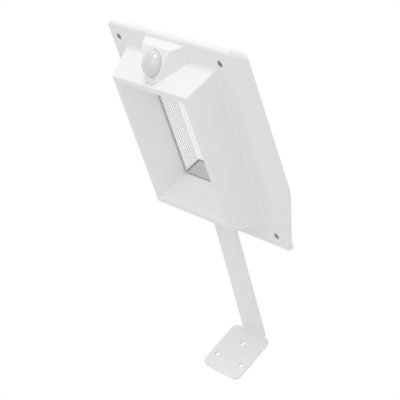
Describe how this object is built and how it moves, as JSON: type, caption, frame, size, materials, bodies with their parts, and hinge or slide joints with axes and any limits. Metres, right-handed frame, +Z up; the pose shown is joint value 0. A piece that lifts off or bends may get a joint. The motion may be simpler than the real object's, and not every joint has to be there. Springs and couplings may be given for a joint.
{
  "type": "solar motion sensor light",
  "caption": "Wall light with a shaded lamp, a motion sensor dome and a solar panel on its back, held out from the wall by a folded steel bracket.",
  "frame": {"origin": "centre of the bracket foot's wall face", "axes": "+Y into the wall, normal to the foot's face; +Z up; the light stands out along -Y"},
  "size_m": [0.16, 0.2755, 0.1455],
  "materials": {
    "white_plastic": "moulded white plastic, satin",
    "white_paint": "white powder coat on folded steel",
    "milky_dome": "milky translucent polythene lens",
    "plated_steel": "plated steel screws and nuts",
    "seal_rubber": "soft black rubber",
    "panel_backing": "white laminate",
    "solar_blue": "dark blue silicon with fine silver lines",
    "panel_glass": "clear flat glass",
    "lamp_grey": "grey moulded plastic",
    "lens_clear": "clear honeycomb lens sheet",
    "board_white": "white lacquered circuit board",
    "diode_yellow": "white diode cases with a yellow phosphor",
    "board_green": "green lacquered circuit board",
    "inner_black": "black moulded plastic",
    "cell_sleeve": "blue shrink sleeve",
    "contact_brass": "nickel-plated spring brass",
    "button_grey": "soft grey button",
    "lead_sleeve": "flexible sleeve on a fine lead"
  },
  "bodies": {
    "root": {"front_cover": "white_plastic", "rear_cover": "white_plastic", "bracket_strip": "white_paint", "sensor_dome": "milky_dome", "housing_screws": "plated_steel", "bracket_bolts": "plated_steel", "bracket_washers": "plated_steel", "bracket_nuts": "plated_steel", "control_screws": "plated_steel", "motion_detector": "plated_steel", "housing_gasket": "seal_rubber", "panel_pad": "seal_rubber", "solar_board": "panel_backing", "solar_cells": "solar_blue", "solar_glass": "panel_glass", "lamp_frame": "lamp_grey", "lens_sheet": "lens_clear", "lamp_board": "board_white", "lamp_diodes": "diode_yellow", "control_board": "board_green", "sensor_board": "board_green", "switch_board": "board_green", "control_parts": "inner_black", "switch_body": "inner_black", "battery_cradle": "inner_black", "sensor_holder": "inner_black", "battery_cell": "cell_sleeve", "battery_contacts": "contact_brass", "lamp_lead": "lead_sleeve", "battery_lead": "lead_sleeve", "sensor_lead": "lead_sleeve", "panel_lead": "lead_sleeve"},
    "button": {"switch_button": "button_grey"}
  },
  "joints": [
    {"name": "button_press", "type": "slide", "parent": "root", "child": "button", "axis": [0, -0.5595, -0.8288], "range_m": [0, 0.001], "stiffness_N_per_m": 300, "springref_m": -0.001}
  ]
}
